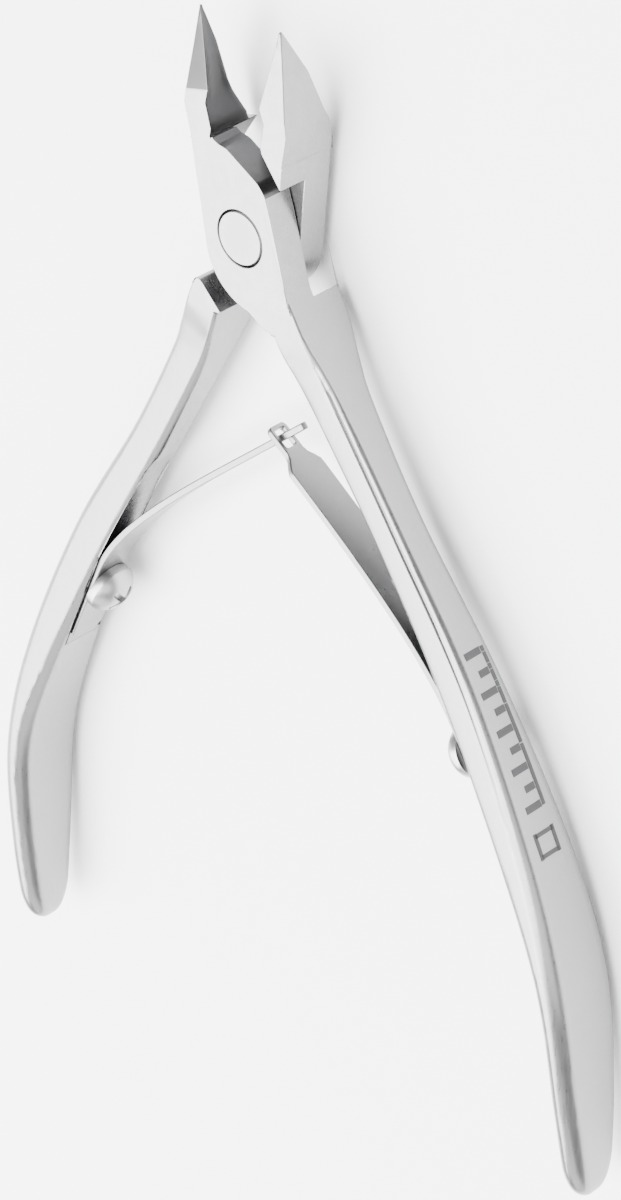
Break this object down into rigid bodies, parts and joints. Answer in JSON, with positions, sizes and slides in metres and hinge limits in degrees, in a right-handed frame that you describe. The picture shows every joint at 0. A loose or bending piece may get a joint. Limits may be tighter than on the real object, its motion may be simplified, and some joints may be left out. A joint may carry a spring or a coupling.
{
  "type": "cuticle nipper",
  "caption": "Hand nipper with two crossed steel levers on a lap joint with a flush rivet, hollow-ground jaws with short cutting edges, bowed handles and hooked leaf springs held by screws.",
  "frame": {"origin": "on the pivot axis, on the flat back of the joint", "axes": "+Z out of the front face, +Y towards the jaw tips, +X to the side of the front lever's handle"},
  "size_m": [0.0761, 0.1103, 0.0084],
  "materials": {
    "lever_steel": "satin",
    "spring_steel": "satin",
    "screw_steel": "polished"
  },
  "bodies": {
    "front_half": {"front_lever": "lever_steel", "eye_spring_foot": "spring_steel", "eye_spring_screw": "screw_steel"},
    "rear_half": {"rear_lever": "lever_steel", "pivot_rivet": "lever_steel", "pivot_collar": "lever_steel", "tongue_spring_foot": "spring_steel", "tongue_spring_screw": "screw_steel"},
    "eye_blade": {"eye_spring": "spring_steel"},
    "tongue_blade": {"tongue_spring": "spring_steel"}
  },
  "joints": [
    {"name": "lever_pivot", "type": "hinge", "parent": "front_half", "child": "rear_half", "pos_m": [0, 0, 0], "axis": [0, 0, 1], "range_deg": [0, 25.4], "stiffness_Nm_per_rad": 0.9},
    {"name": "eye_flex", "type": "hinge", "parent": "front_half", "child": "eye_blade", "pos_m": [0.01935, -0.03667, 0.0032], "axis": [0, 0, 1], "range_deg": [-8.5, 0]},
    {"name": "tongue_flex", "type": "hinge", "parent": "rear_half", "child": "tongue_blade", "pos_m": [-0.01821, -0.03701, 0.0032], "axis": [0, 0, 1], "range_deg": [0, 15]}
  ],
  "couplings": [
    {"joint": "eye_flex", "follows": "lever_pivot", "ratio": -0.32},
    {"joint": "tongue_flex", "follows": "lever_pivot", "ratio": 0.57}
  ]
}
